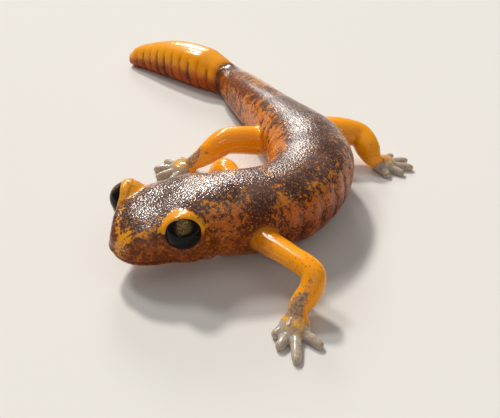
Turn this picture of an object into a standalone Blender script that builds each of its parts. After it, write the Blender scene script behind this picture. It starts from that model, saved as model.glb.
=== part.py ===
# Sierra Nevada ensatina, a life-size still model in a walking pose, head turned to its own left.
# The body is one lofted form, cut into head, neck, trunk and tail lengths that meet face to face.
# The legs are tubes whose roots are cut to the curve of the trunk. All heights count from the floor.
import math

import bmesh
import bpy
from mathutils import Matrix, Vector

MM = 0.001
GAP = 0.3                  # clearance between pieces that touch, mm
SHIFT = (-0.41, -21.92)    # moves the pose so that the box's bottom centre is the origin, mm
BODY_SIDES = 22            # points round the body
BODY_SQUARENESS = 0.88     # below 1 the body's outline is fuller than an ellipse
LIMB_SIDES = 12            # points round a leg
RING_STEP = 0.75           # spacing of the body's rings, mm
RING_CLEARANCE = 0.3       # no ring stands nearer than this to a cut end, mm
GROOVE_PITCH = 2.25        # from one groove of the flank or tail to the next, mm
GROOVE_REACH = 1.6         # above 1 the grooves keep their full depth further up the back

# The body from snout to tail tip, in mm: x, y, z of the middle, half width, height above, depth below
SPINE = {
    "snout": (-16.50, -7.85, 5.00, 1.1, 0.8, 0.9),
    "lips": (-16.15, -7.50, 5.15, 2.4, 1.6, 1.7),
    "nostrils": (-15.35, -6.75, 5.45, 3.6, 2.5, 2.7),
    "cheeks": (-14.10, -5.60, 5.75, 4.8, 3.4, 3.7),
    "eyes": (-12.10, -3.95, 6.10, 5.8, 3.9, 4.4),
    "temples": (-9.90, -2.90, 6.30, 6.3, 4.4, 4.8),
    "jaw_corners": (-7.60, -2.40, 6.40, 6.4, 4.9, 5.0),
    "gular_fold": (-5.30, -2.10, 6.40, 5.6, 5.1, 4.9),
    "neck": (-3.10, -1.70, 6.40, 5.6, 5.4, 5.1),
    "shoulders": (0.90, -0.60, 6.20, 5.6, 5.4, 5.2),
    "chest": (4.60, 1.60, 6.20, 5.7, 5.1, 5.3),
    "waist": (7.40, 5.80, 6.20, 5.9, 5.0, 5.4),
    "bend": (8.80, 11.30, 6.10, 6.2, 5.0, 5.4),
    "belly": (8.40, 16.60, 6.00, 6.0, 4.8, 5.3),
    "groin": (7.00, 20.90, 5.80, 5.4, 4.6, 5.1),
    "hips": (5.20, 25.80, 5.40, 4.6, 4.3, 4.8),
    "vent": (3.00, 31.60, 4.80, 4.0, 4.0, 4.6),
    "tail_root": (0.70, 37.70, 4.20, 3.8, 3.7, 4.1),
    "tail_neck": (-1.70, 44.10, 3.60, 3.4, 3.3, 3.7),
    "tail_ring": (-4.00, 49.90, 3.00, 2.8, 2.9, 3.15),     # the narrow ring at the tail's base
    "tail_swell": (-6.00, 51.90, 3.40, 3.2, 3.3, 3.55),
    "tail_crest": (-8.60, 54.10, 3.80, 3.8, 3.8, 3.95),
    "tail_body": (-15.10, 59.40, 3.60, 3.6, 3.6, 3.75),
    "tail_taper": (-20.30, 63.10, 2.80, 2.7, 2.7, 2.95),
    "tail_end": (-23.60, 64.70, 2.10, 1.8, 1.9, 2.2),
    "tail_tip": (-25.00, 65.10, 1.60, 0.9, 1.0, 1.15),
}

# Where the body is cut into pieces, by stations of the spine
PIECES = (
    ("head", "snout", "gular_fold"),
    ("neck", "gular_fold", "shoulders"),
    ("trunk_front", "shoulders", "waist"),
    ("trunk_middle", "waist", "belly"),
    ("pelvis", "belly", "vent"),
    ("tail_base", "vent", "tail_ring"),
    ("tail_middle", "tail_ring", "tail_body"),
    ("tail_end", "tail_body", "tail_tip"),
)
# Rows of grooves: from station, to station, depth in mm
GROOVES = (("shoulders", "hips", 0.34), ("vent", "tail_end", 0.28))

# Head details. Ahead and aside count along the head's own axis, from midway between the eyes
HEAD_MIDDLE = (-12.1, -3.95)
HEAD_HEADING = 225.5       # degrees from +X, the way that the snout points
EYE_ASIDE = 5.1
EYE_UP = 7.7
EYE_RADIUS = 2.05
EYE_LOOK = (0.46, 0.86, 0.22)          # ahead, aside and up
LID_THICKNESS = 0.5
EYE_OPENING = (2.15, 1.75)             # half width and half height of the opening between the lids
OPENING_DROP = 0.3                     # the opening sits this much under the eye's middle
OPENING_DEPTH = 0.5                    # and starts this far outside it
# The mouth and the back edge of the jaw: ahead and up
MOUTH_LINE = ((9.0, 4.15), (4.0, 4.0), (0.0, 3.9), (-2.6, 3.95), (-3.8, 3.4), (-4.4, 2.4), (-4.7, 0.0))
MOUTH_CORNER = 3                       # place in the line where the mouth ends
LIP_HEIGHT = 0.6                       # each lip, above or below the line, mm
LIP_PROUD = 0.25                       # how far the lips stand out of the head, mm
NOSTRIL = (4.35, 1.15, 6.75)
NOSTRIL_RADIUS = 0.3

# Legs, in mm: x, y, z and radius from the root inside the trunk to the middle of the palm or sole
LEGS = {
    "front_left": {
        "chain": ((1.6, -3.4, 5.4, 2.2), (2.0, -6.3, 5.5, 1.75), (4.8, -9.7, 5.6, 1.45), (7.4, -12.6, 5.2, 1.5),
                  (7.1, -13.9, 3.7, 1.5), (5.8, -15.0, 2.2, 1.4), (5.2, -16.9, 1.0, 0.9)),
        "palm": 1.9,
        "toes": (((3.6, -17.4), (2.6, -18.3)), ((4.3, -18.2), (3.1, -20.3)), ((5.2, -18.5), (5.1, -22.5)),
                 ((6.2, -18.0), (8.2, -20.0))),
    },
    "front_right": {
        "chain": ((0.0, 1.8, 5.8, 2.2), (-1.2, 4.8, 5.9, 1.8), (-2.6, 7.3, 6.4, 1.6), (-3.7, 9.3, 6.5, 1.75),
                  (-4.9, 10.2, 4.6, 1.45), (-6.0, 10.8, 2.4, 1.15), (-7.5, 11.5, 1.0, 0.8)),
        "palm": 1.9,
        "toes": (((-7.2, 10.1), (-7.8, 8.8)), ((-8.4, 10.8), (-10.7, 10.1)), ((-8.6, 11.8), (-12.2, 12.5)),
                 ((-8.0, 12.5), (-9.8, 14.4))),
    },
    "rear_left": {
        "chain": ((8.6, 24.4, 4.8, 2.6), (12.0, 24.4, 5.1, 2.35), (15.1, 24.0, 5.1, 2.2), (17.5, 23.7, 4.6, 1.95),
                  (18.7, 21.8, 3.3, 1.95), (19.5, 20.9, 2.1, 1.5), (21.1, 21.2, 1.0, 0.8)),
        "palm": 2.1,
        "toes": (((20.9, 19.6), (21.6, 17.8)), ((22.1, 20.1), (24.2, 18.6)), ((22.6, 21.0), (26.0, 20.5)),
                 ((22.4, 22.0), (25.5, 23.0)), ((21.6, 22.8), (23.3, 24.6))),
    },
    "rear_right": {
        "chain": ((4.4, 22.3, 4.6, 2.6), (1.1, 21.8, 4.7, 2.3), (-1.6, 21.2, 5.1, 2.2), (-3.9, 20.7, 5.1, 2.1),
                  (-6.0, 19.9, 3.9, 1.9), (-8.1, 19.9, 2.3, 1.4), (-10.4, 20.0, 1.0, 0.8)),
        "palm": 2.1,
        "toes": (((-10.4, 21.6), (-11.1, 23.4)), ((-11.6, 21.1), (-13.8, 22.5)), ((-12.0, 20.1), (-15.3, 20.1)),
                 ((-11.7, 19.1), (-14.7, 17.6)), ((-10.9, 18.4), (-12.4, 16.3))),
    },
}
ELBOW = 3                  # place of the elbow or knee in a leg's chain
WRIST = 5                  # place of the wrist or ankle
ELBOW_SWELL = 0.15         # how far an elbow or knee stands out of the limb, mm
PALM_HEIGHT = 1.1          # half the thickness of a palm or sole before the floor cuts it flat, mm
TOE_ROOT_HEIGHT = 0.6      # heights of the toes' middle line above the floor, mm
TOE_KNUCKLE_HEIGHT = 0.55
TOE_TIP_HEIGHT = 0.4
TOE_START = 0.35           # how far from the palm's middle to its rim a toe starts
TOE_KNUCKLE = 0.45         # how far along the toe its knuckle is
TOE_ROOT_RADIUS = 0.75
TOE_TIP_RADIUS = 0.48
BALL_SIDES = (20, 12)      # round and up: lid hoods
EYE_SIDES = (18, 12)
JOINT_SIDES = (14, 9)
SPECK_SIDES = (8, 6)
SKIN_ROUGHNESS = 0.35
EYE_ROUGHNESS = 0.05
SHARP_ANGLE = 50.0         # degrees, edges sharper than this stay crisp

COLOURS = {
    "back": (0.16, 0.075, 0.045),
    "head": (0.20, 0.085, 0.045),
    "limb": (0.85, 0.36, 0.04),
    "tail": (0.70, 0.26, 0.035),
    "eye": (0.012, 0.009, 0.008),
}


def place(x, y, z):
    """A point of the pose, given in mm, as a point of the model in metres."""
    return Vector(((x + SHIFT[0]) * MM, (y + SHIFT[1]) * MM, z * MM))


def smooth_through(rows):
    """Distances along a chain of stations, and a function that reads a smooth curve through them."""
    marks = [0.0]
    for here, there in zip(rows, rows[1:]):
        marks.append(marks[-1] + math.dist(here[:3], there[:3]))
    slopes = []
    for i in range(len(rows)):
        before = max(i - 1, 0)
        after = min(i + 1, len(rows) - 1)
        run = marks[after] - marks[before]
        slopes.append([(b - a) / run for a, b in zip(rows[before], rows[after])])

    def read(distance):
        i = 0
        while i < len(marks) - 2 and distance > marks[i + 1]:
            i += 1
        run = marks[i + 1] - marks[i]
        t = (distance - marks[i]) / run
        near = 2 * t**3 - 3 * t**2 + 1
        near_slope = t**3 - 2 * t**2 + t
        far_slope = t**3 - t**2
        return [near * a + (1 - near) * b + (near_slope * m + far_slope * n) * run
                for a, b, m, n in zip(rows[i], rows[i + 1], slopes[i], slopes[i + 1])]

    return marks, read


DISTANCES, body_at = smooth_through(list(SPINE.values()))
MARKS = dict(zip(SPINE, DISTANCES))


def groove(distance):
    """How deep the skin grooves are at a distance along the body. A row fades out at its ends."""
    dip = 0.0
    for first, last, depth in GROOVES:
        fade = min(distance - MARKS[first], MARKS[last] - distance) / GROOVE_PITCH
        wave = 0.5 + 0.5 * math.cos(2 * math.pi * distance / GROOVE_PITCH)
        dip += depth * wave**3 * max(0.0, min(fade, 1.0))
    return dip


def body_ring(distance, grow=0.0):
    """One upright outline of the body: wide as a superellipse, with grooves pressed into its sides."""
    x, y, z, half_width, above, below = body_at(distance)
    step = 0.2
    ahead = body_at(distance + step)
    behind = body_at(distance - step)
    heading = math.atan2(ahead[1] - behind[1], ahead[0] - behind[0])
    side = Vector((math.sin(heading), -math.cos(heading), 0))
    dip = groove(distance)
    points = []
    for k in range(BODY_SIDES):
        angle = 2 * math.pi * k / BODY_SIDES
        across = math.copysign(abs(math.cos(angle)) ** BODY_SQUARENESS, math.cos(angle))
        rise = math.copysign(abs(math.sin(angle)) ** BODY_SQUARENESS, math.sin(angle))
        press = dip * min(1.0, GROOVE_REACH * abs(math.cos(angle)))
        width = half_width + grow - press
        height = (above if rise > 0 else below) + grow - press
        level = max(z + height * rise, 0.0)
        points.append(place(x + side.x * width * across, y + side.y * width * across, level))
    return points


def loft(rings):
    """A closed skin drawn through rings of points that all have the same count."""
    bm = bmesh.new()
    loop = bmesh.ops.create_circle(bm, cap_ends=True, segments=len(rings[0]), radius=1.0)["verts"]
    edges = list(bm.edges)
    for vert, point in zip(loop, rings[0]):
        vert.co = point
    for ring in rings[1:]:
        made = set(bmesh.ops.extrude_edge_only(bm, edges=edges)["geom"])
        far = []
        for vert in loop:
            far += [e.other_vert(vert) for e in vert.link_edges if e.other_vert(vert) in made]
        for vert, point in zip(far, ring):
            vert.co = point
        edges = [e for e in made if isinstance(e, bmesh.types.BMEdge) and set(e.verts) <= set(far)]
        loop = far
    bmesh.ops.contextual_create(bm, geom=edges)
    bmesh.ops.recalc_face_normals(bm, faces=bm.faces)
    return bm


def body_length(start, end, grow=0.0):
    """A length of the body between two distances, with its rings on one grid that meets each groove."""
    marks = [start, end]
    for i in range(math.ceil(MARKS["tail_tip"] / RING_STEP)):
        if start + RING_CLEARANCE < i * RING_STEP < end - RING_CLEARANCE:
            marks.append(i * RING_STEP)
    return loft([body_ring(mark, grow) for mark in sorted(marks)])


def tube(rows, start=0.0, end=None, grow=0.0, sides=LIMB_SIDES, spacing=0.8):
    """A leg or toe: round rings along a smooth line through stations of x, y, z and radius."""
    marks, read = smooth_through(rows)
    end = marks[-1] if end is None else end
    count = max(2, round((end - start) / spacing))
    rings = []
    side = Vector()
    for i in range(count + 1):
        distance = start + (end - start) * i / count
        x, y, z, radius = read(distance)
        ahead = read(min(distance + 0.1, marks[-1]))
        behind = read(max(distance - 0.1, 0.0))
        along = Vector([a - b for a, b in zip(ahead[:3], behind[:3])]).normalized()
        side = side - along * side.dot(along) if rings else along.cross(Vector((0, 0, 1)))
        side.normalize()
        up = side.cross(along)
        ring = []
        for k in range(sides):
            angle = 2 * math.pi * k / sides
            turn = side * math.cos(angle) + up * math.sin(angle)
            ring.append(place(*(Vector((x, y, z)) + (radius + grow) * turn)))
        rings.append(ring)
    return loft(rings)


def ball(centre, radius, sides):
    """A sphere at a point of the pose."""
    bm = bmesh.new()
    at = Matrix.Translation(place(*centre))
    bmesh.ops.create_uvsphere(bm, u_segments=sides[0], v_segments=sides[1], radius=radius * MM, matrix=at)
    return bm


def floor_block():
    """Everything below the floor, for cutting soles flat."""
    bm = bmesh.new()
    block = 0.2
    at = Matrix.Translation((0, 0, -block / 2))
    bmesh.ops.create_cube(bm, size=block, matrix=at)
    return bm


def to_object(bm, name):
    """A linked object that holds the mesh."""
    mesh = bpy.data.meshes.new(name)
    bm.to_mesh(mesh)
    bm.free()
    obj = bpy.data.objects.new(name, mesh)
    bpy.context.scene.collection.objects.link(obj)
    return obj


def combine(base, others, operation):
    """The base mesh joined with, cut by or kept inside the other meshes, in one go."""
    body = to_object(base, "base")
    tools = bpy.data.collections.new("tools")
    bpy.context.scene.collection.children.link(tools)
    for other in others:
        tools.objects.link(to_object(other, "tool"))
    modifier = body.modifiers.new("combine", "BOOLEAN")
    modifier.operand_type = "COLLECTION"
    modifier.collection = tools
    modifier.operation = operation
    modifier.solver = "EXACT"
    bpy.context.view_layer.update()
    shaped = body.evaluated_get(bpy.context.evaluated_depsgraph_get())
    bm = bmesh.new()
    bm.from_mesh(shaped.to_mesh())
    shaped.to_mesh_clear()
    for obj in list(tools.objects) + [body]:
        bpy.data.objects.remove(obj)
    bpy.data.collections.remove(tools)
    return keep_largest(bm)


def keep_largest(bm):
    """Drops loose scraps, so that one closed surface is left."""
    bmesh.ops.remove_doubles(bm, verts=bm.verts, dist=0.00002)
    bmesh.ops.dissolve_degenerate(bm, edges=bm.edges, dist=0.00001)
    left = set(bm.faces)
    groups = []
    while left:
        group = set()
        queue = [left.pop()]
        while queue:
            face = queue.pop()
            group.add(face)
            for edge in face.edges:
                for neighbour in edge.link_faces:
                    if neighbour in left:
                        left.remove(neighbour)
                        queue.append(neighbour)
        groups.append(group)
    groups.sort(key=lambda g: sum(f.calc_area() for f in g))
    scraps = [face for group in groups[:-1] for face in group]
    bmesh.ops.delete(bm, geom=scraps, context="FACES")
    bmesh.ops.recalc_face_normals(bm, faces=bm.faces)
    return bm


def material(name, colour, roughness):
    """A plain wet skin or eye."""
    made = bpy.data.materials.new(name)
    made.use_nodes = True
    shader = made.node_tree.nodes["Principled BSDF"]
    shader.inputs["Base Color"].default_value = colour + (1.0,)
    shader.inputs["Roughness"].default_value = roughness
    shader.inputs["Metallic"].default_value = 0.0
    return made


def add_piece(name, bm, origin, parent, finish):
    """Makes one named sub-part with its origin at a point of the pose."""
    bmesh.ops.translate(bm, verts=bm.verts, vec=-place(*origin))
    obj = to_object(bm, name)
    roughness = EYE_ROUGHNESS if finish == "eye" else SKIN_ROUGHNESS
    obj.data.materials.append(material(name + "_skin", COLOURS[finish], roughness))
    obj.data.shade_smooth()
    obj.data.set_sharp_from_angle(angle=math.radians(SHARP_ANGLE))
    obj.parent = parent
    obj.location = place(*origin) - (parent.matrix_world.translation if parent else Vector())
    bpy.context.view_layer.update()
    return obj


def head_way(ahead, aside, up):
    """A direction given along the head's own axis, to its left and upwards."""
    heading = math.radians(HEAD_HEADING)
    forward = Vector((math.cos(heading), math.sin(heading), 0))
    left = Vector((-forward.y, forward.x, 0))
    return forward * ahead + left * aside + Vector((0, 0, up))


def head_point(ahead, aside, up):
    """A point of the pose given along the head's own axis, to its left and above the floor."""
    return Vector(HEAD_MIDDLE + (0,)) + head_way(ahead, aside, up)


def across_head(outline):
    """A prism right across the head, from an outline of points ahead and up."""
    reach = 14.0
    ends = [[head_point(ahead, aside, up) for ahead, up in outline] for aside in (-reach, reach)]
    return loft([[place(*point) for point in end] for end in ends])


def jaw_block(grow):
    """All that lies under the line of the mouth, a prism across the head, wider by the gap for a cut."""
    outline = []
    for (ahead, up), (next_ahead, next_up) in zip(MOUTH_LINE, MOUTH_LINE[1:] + MOUTH_LINE[-1:]):
        run = Vector((next_ahead - ahead, next_up - up))
        normal = Vector((run.y, -run.x)).normalized() if run.length else Vector((-1, 0))
        outline.append((ahead - abs(normal.x) * grow, up + abs(normal.y) * grow))
    outline.append((outline[0][0], outline[-1][1]))
    return across_head(outline)


def lip_band(marks):
    """Both lips in one: a slightly bigger head, kept only near the line of the mouth."""
    line = MOUTH_LINE[:MOUTH_CORNER + 1]
    outline = [(ahead, up + LIP_HEIGHT) for ahead, up in line]
    outline += [(ahead, up - LIP_HEIGHT) for ahead, up in reversed(line)]
    bigger = loft([body_ring(mark, LIP_PROUD) for mark in marks])
    bmesh.ops.translate(bigger, verts=bigger.verts, vec=head_way(LIP_PROUD, 0, 0) * MM)
    return combine(bigger, [across_head(outline)], "INTERSECT")


def eye_window(side):
    """The opening between the lids, an oval plug along the way that the eye looks."""
    look = head_way(EYE_LOOK[0], side * EYE_LOOK[1], EYE_LOOK[2]).normalized()
    across = look.cross(Vector((0, 0, 1))).normalized()
    up = across.cross(look)
    centre = head_point(0, side * EYE_ASIDE, EYE_UP) - up * OPENING_DROP
    rings = []
    for depth, widen in ((OPENING_DEPTH, 1.0), (5.0, 1.25)):
        ring = []
        for k in range(20):
            angle = 2 * math.pi * k / 20
            spot = centre + look * depth + across * (EYE_OPENING[0] * widen * math.cos(angle))
            ring.append(place(*(spot + up * (EYE_OPENING[1] * widen * math.sin(angle)))))
        rings.append(ring)
    return loft(rings)


def whole_head():
    """The head before the mouth parts it: skull, lid hoods, eye openings, sockets and nostrils."""
    end = MARKS["gular_fold"] - GAP / 2
    marks = [0.0, RING_STEP / 3]
    last = math.floor((end - RING_CLEARANCE) / RING_STEP)
    marks += [i * RING_STEP for i in range(1, last + 1)]
    skull = loft([body_ring(mark) for mark in marks + [end]])
    swell = [lip_band(marks)]
    cuts = []
    for side in (1, -1):
        spot = head_point(0, side * EYE_ASIDE, EYE_UP)
        swell.append(ball(spot, EYE_RADIUS + GAP + LID_THICKNESS, BALL_SIDES))
        cuts.append(eye_window(side))
        cuts.append(ball(spot, EYE_RADIUS + GAP, EYE_SIDES))
        cuts.append(ball(head_point(NOSTRIL[0], side * NOSTRIL[1], NOSTRIL[2]), NOSTRIL_RADIUS, SPECK_SIDES))
    return combine(combine(skull, swell, "UNION"), cuts, "DIFFERENCE")


def make_head(root):
    """Upper head and lower jaw, parted along the mouth, with both eyes in their sockets."""
    upper = combine(whole_head(), [jaw_block(GAP)], "DIFFERENCE")
    head = add_piece("head", upper, SPINE["gular_fold"][:3], root, "head")
    jaw = combine(whole_head(), [jaw_block(0.0)], "INTERSECT")
    hinge = MOUTH_LINE[MOUTH_CORNER]
    add_piece("lower_jaw", jaw, head_point(hinge[0], 0, hinge[1]), head, "head")
    for name, side in (("left", 1), ("right", -1)):
        centre = head_point(0, side * EYE_ASIDE, EYE_UP)
        add_piece("eye_" + name, ball(centre, EYE_RADIUS, EYE_SIDES), centre, head, "eye")


def make_body(root):
    """Neck, trunk and tail lengths, each a length of the same lofted form."""
    for name, first, last in PIECES[1:]:
        end = MARKS[last] - (GAP / 2 if last != "tail_tip" else 0)
        bm = body_length(MARKS[first] + GAP / 2, end)
        finish = "tail" if name.startswith("tail") else "back"
        add_piece(name, bm, SPINE[first][:3], root, finish)


def make_foot(leg, lower_leg):
    """A soft palm with tapered toes, cut clear of the lower leg and flat where it rests on the floor."""
    chain = leg["chain"]
    middle = Vector(chain[-1][:3])
    half_width = leg["palm"]
    palm = bmesh.new()
    bmesh.ops.create_uvsphere(palm, u_segments=14, v_segments=8, radius=1.0)
    size = Matrix.Diagonal((half_width * MM, half_width * MM, PALM_HEIGHT * MM, 1.0))
    bmesh.ops.transform(palm, matrix=Matrix.Translation(place(*middle)) @ size, verts=palm.verts)
    parts = [tube(chain[WRIST - 1:], math.dist(chain[WRIST - 1][:3], chain[WRIST][:3]) - GAP)]
    middle_radius = (TOE_ROOT_RADIUS + TOE_TIP_RADIUS) / 2
    for root, tip in leg["toes"]:
        root = Vector(root + (TOE_ROOT_HEIGHT,))
        tip = Vector(tip + (TOE_TIP_HEIGHT,))
        start = middle.lerp(root, TOE_START)
        knuckle = root.lerp(tip, TOE_KNUCKLE)
        knuckle.z = TOE_KNUCKLE_HEIGHT
        parts.append(tube(((*start, TOE_ROOT_RADIUS), (*root, TOE_ROOT_RADIUS), (*knuckle, middle_radius),
                           (*tip, TOE_TIP_RADIUS)), sides=8, spacing=0.9))
    foot = combine(palm, parts, "UNION")
    return combine(foot, [lower_leg, floor_block()], "DIFFERENCE")


def make_legs(root):
    """Each leg in three pieces: the upper one starts on the trunk, the lower one on it, then the foot."""
    for leg_name, leg in LEGS.items():
        front = leg_name.startswith("front")
        chain = leg["chain"]
        elbow = chain[ELBOW]
        upper_rows = chain[:ELBOW + 1]
        lower_rows = chain[ELBOW:WRIST + 1]
        reach = ("jaw_corners", "waist") if front else ("bend", "tail_root")
        trunk = body_length(MARKS[reach[0]], MARKS[reach[1]], GAP)
        upper = combine(tube(upper_rows), [ball(elbow[:3], elbow[3] + ELBOW_SWELL, JOINT_SIDES)], "UNION")
        upper = combine(upper, [trunk], "DIFFERENCE")
        upper_name = leg_name + ("_upper_arm" if front else "_thigh")
        above = add_piece(upper_name, upper, chain[1][:3], root, "limb")
        lower_length = smooth_through(lower_rows)[0][-1]
        joint = [ball(elbow[:3], elbow[3] + ELBOW_SWELL + GAP, JOINT_SIDES), tube(upper_rows, grow=GAP)]
        lower = combine(tube(lower_rows, end=lower_length - GAP), joint, "DIFFERENCE")
        below = add_piece(leg_name + ("_forearm" if front else "_shank"), lower, elbow[:3], above, "limb")
        foot = make_foot(leg, tube(lower_rows, grow=GAP))
        add_piece(leg_name + "_foot", foot, chain[WRIST][:3], below, "limb")


def clear_scene():
    """Starts from nothing."""
    for obj in list(bpy.data.objects):
        bpy.data.objects.remove(obj)


def main():
    clear_scene()
    root = bpy.data.objects.new("ensatina", None)
    bpy.context.scene.collection.objects.link(root)
    make_head(root)
    make_body(root)
    make_legs(root)


main()
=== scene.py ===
import math

import bmesh
import bpy
import numpy as np
from mathutils import Matrix, Vector
from mathutils.kdtree import KDTree


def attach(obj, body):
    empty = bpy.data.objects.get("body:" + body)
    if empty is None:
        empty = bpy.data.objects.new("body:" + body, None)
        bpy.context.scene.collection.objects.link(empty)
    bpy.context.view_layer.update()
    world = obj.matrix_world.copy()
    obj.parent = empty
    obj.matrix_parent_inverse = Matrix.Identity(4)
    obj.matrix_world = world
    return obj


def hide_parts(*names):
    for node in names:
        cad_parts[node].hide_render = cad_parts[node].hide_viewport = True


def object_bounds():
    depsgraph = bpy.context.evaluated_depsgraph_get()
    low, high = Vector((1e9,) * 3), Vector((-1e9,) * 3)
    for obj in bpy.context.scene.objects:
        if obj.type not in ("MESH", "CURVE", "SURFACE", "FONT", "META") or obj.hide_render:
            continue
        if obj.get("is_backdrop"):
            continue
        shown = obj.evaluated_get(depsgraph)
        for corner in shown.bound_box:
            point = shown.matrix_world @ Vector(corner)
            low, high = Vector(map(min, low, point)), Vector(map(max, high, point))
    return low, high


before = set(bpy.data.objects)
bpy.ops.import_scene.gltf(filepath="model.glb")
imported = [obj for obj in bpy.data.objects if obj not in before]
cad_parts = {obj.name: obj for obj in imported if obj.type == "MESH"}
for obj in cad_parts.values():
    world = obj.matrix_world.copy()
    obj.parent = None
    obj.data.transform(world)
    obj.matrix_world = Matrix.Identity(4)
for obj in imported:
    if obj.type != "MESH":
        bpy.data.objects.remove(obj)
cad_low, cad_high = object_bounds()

# The skin. A live animal's one moist, granular skin over head, trunk, tail and legs, without a seam.
# It is lofted along the spine, with tubes for legs and toes, fused into one surface and then shaped:
# lids, lips, nostrils, throat fold, and the grooves along the flanks and tail.
MM = 0.001
SHIFT = (-0.41, -21.92)
BODY_SIDES = 48
BODY_SQUARENESS = 0.88
GROOVE_PITCH = 2.25
VOXEL = 0.14
SKIN_FACES = 180000
SPINE = {  # x, y, z of the middle, half width, height above, depth below, all in mm
    "snout": (-16.50, -7.85, 5.00, 1.1, 0.8, 0.9),
    "lips": (-16.15, -7.50, 5.15, 2.4, 1.6, 1.7),
    "nostrils": (-15.35, -6.75, 5.45, 3.6, 2.5, 2.7),
    "cheeks": (-14.10, -5.60, 5.75, 4.8, 3.4, 3.7),
    "eyes": (-12.10, -3.95, 6.10, 5.8, 3.9, 4.4),
    "temples": (-9.90, -2.90, 6.30, 6.3, 4.4, 4.8),
    "jaw_corners": (-7.60, -2.40, 6.40, 6.4, 4.9, 5.0),
    "gular_fold": (-5.30, -2.10, 6.40, 5.6, 5.1, 4.9),
    "neck": (-3.10, -1.70, 6.40, 5.6, 5.4, 5.1),
    "shoulders": (0.90, -0.60, 6.20, 5.6, 5.4, 5.2),
    "chest": (4.60, 1.60, 6.20, 5.7, 5.1, 5.3),
    "waist": (7.40, 5.80, 6.20, 5.9, 5.0, 5.4),
    "bend": (8.80, 11.30, 6.10, 6.2, 5.0, 5.4),
    "belly": (8.40, 16.60, 6.00, 6.0, 4.8, 5.3),
    "groin": (7.00, 20.90, 5.80, 5.4, 4.6, 5.1),
    "hips": (5.20, 25.80, 5.40, 4.6, 4.3, 4.8),
    "vent": (3.00, 31.60, 4.80, 4.0, 4.0, 4.6),
    "tail_root": (0.70, 37.70, 4.20, 3.8, 3.7, 4.1),
    "tail_neck": (-1.70, 44.10, 3.60, 3.4, 3.3, 3.7),
    "tail_ring": (-4.00, 49.90, 3.00, 2.8, 2.9, 3.15),
    "tail_swell": (-6.00, 51.90, 3.40, 3.2, 3.3, 3.55),
    "tail_crest": (-8.60, 54.10, 3.80, 3.8, 3.8, 3.95),
    "tail_body": (-15.10, 59.40, 3.60, 3.6, 3.6, 3.75),
    "tail_taper": (-20.30, 63.10, 2.80, 2.7, 2.7, 2.95),
    "tail_end": (-23.60, 64.70, 2.10, 1.8, 1.9, 2.2),
    "tail_tip": (-25.00, 65.10, 1.60, 0.9, 1.0, 1.15),
}
HEAD_MIDDLE = (-12.1, -3.95)
HEAD_HEADING = 225.5
EYE_AHEAD = -0.25
EYE_ASIDE = 5.35
EYE_UP = 7.62
EYE_RADIUS = 2.4
EYE_LOOK = (0.60, 0.75, 0.33)
LID_RADIUS = 2.53
EYE_OPENING = (2.18, 1.78)
OPENING_DROP = -0.1
CHEEK = (-0.6, 4.5, 5.7)
CHEEK_RADIUS = 2.4
MOUTH_LINE = ((9.0, 4.15), (4.0, 4.0), (0.0, 3.9), (-2.6, 3.95))
LEGS = {  # x, y, z and radius from the root inside the trunk to the middle of the palm or sole
    "front_left": {
        "chain": ((1.6, -3.4, 5.4, 2.2), (2.0, -6.3, 5.5, 1.75), (4.8, -9.7, 5.6, 1.45),
                  (7.4, -12.6, 5.2, 1.5), (7.1, -13.9, 3.7, 1.5), (5.8, -15.0, 2.2, 1.4),
                  (5.2, -16.9, 1.0, 0.9)),
        "palm": 1.9,
        "toes": (((3.6, -17.4), (2.6, -18.3)), ((4.3, -18.2), (3.1, -20.3)),
                 ((5.2, -18.5), (5.1, -22.5)), ((6.2, -18.0), (8.2, -20.0))),
    },
    "front_right": {
        "chain": ((0.0, 1.8, 5.8, 2.2), (-1.2, 4.8, 5.9, 1.8), (-2.6, 7.3, 6.4, 1.6),
                  (-3.7, 9.3, 6.5, 1.75), (-4.9, 10.2, 4.6, 1.45), (-6.0, 10.8, 2.4, 1.15),
                  (-7.5, 11.5, 1.0, 0.8)),
        "palm": 1.9,
        "toes": (((-7.2, 10.1), (-7.8, 8.8)), ((-8.4, 10.8), (-10.7, 10.1)),
                 ((-8.6, 11.8), (-12.2, 12.5)), ((-8.0, 12.5), (-9.8, 14.4))),
    },
    "rear_left": {
        "chain": ((8.6, 24.4, 4.8, 2.6), (12.0, 24.4, 5.1, 2.35), (15.1, 24.0, 5.1, 2.2),
                  (17.5, 23.7, 4.6, 1.95), (18.7, 21.8, 3.3, 1.95), (19.5, 20.9, 2.1, 1.5),
                  (21.1, 21.2, 1.0, 0.8)),
        "palm": 2.1,
        "toes": (((20.9, 19.6), (21.6, 17.8)), ((22.1, 20.1), (24.2, 18.6)),
                 ((22.6, 21.0), (26.0, 20.5)), ((22.4, 22.0), (25.5, 23.0)),
                 ((21.6, 22.8), (23.3, 24.6))),
    },
    "rear_right": {
        "chain": ((4.4, 22.3, 4.6, 2.6), (1.1, 21.8, 4.7, 2.3), (-1.6, 21.2, 5.1, 2.2),
                  (-3.9, 20.7, 5.1, 2.1), (-6.0, 19.9, 3.9, 1.9), (-8.1, 19.9, 2.3, 1.4),
                  (-10.4, 20.0, 1.0, 0.8)),
        "palm": 2.1,
        "toes": (((-10.4, 21.6), (-11.1, 23.4)), ((-11.6, 21.1), (-13.8, 22.5)),
                 ((-12.0, 20.1), (-15.3, 20.1)), ((-11.7, 19.1), (-14.7, 17.6)),
                 ((-10.9, 18.4), (-12.4, 16.3))),
    },
}
WRIST = 5
PALM_HEIGHT = 1.1
TOE_HEIGHTS = (0.6, 0.6, 0.45)
TOE_RADII = (0.75, 0.64, 0.54, 0.25)
TOE_START = 0.35
TOE_KNUCKLE = 0.5


def place(x, y, z):
    """A point of the pose, given in mm, as a point of the model in metres."""
    return Vector(((x + SHIFT[0]) * MM, (y + SHIFT[1]) * MM, z * MM))


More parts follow.
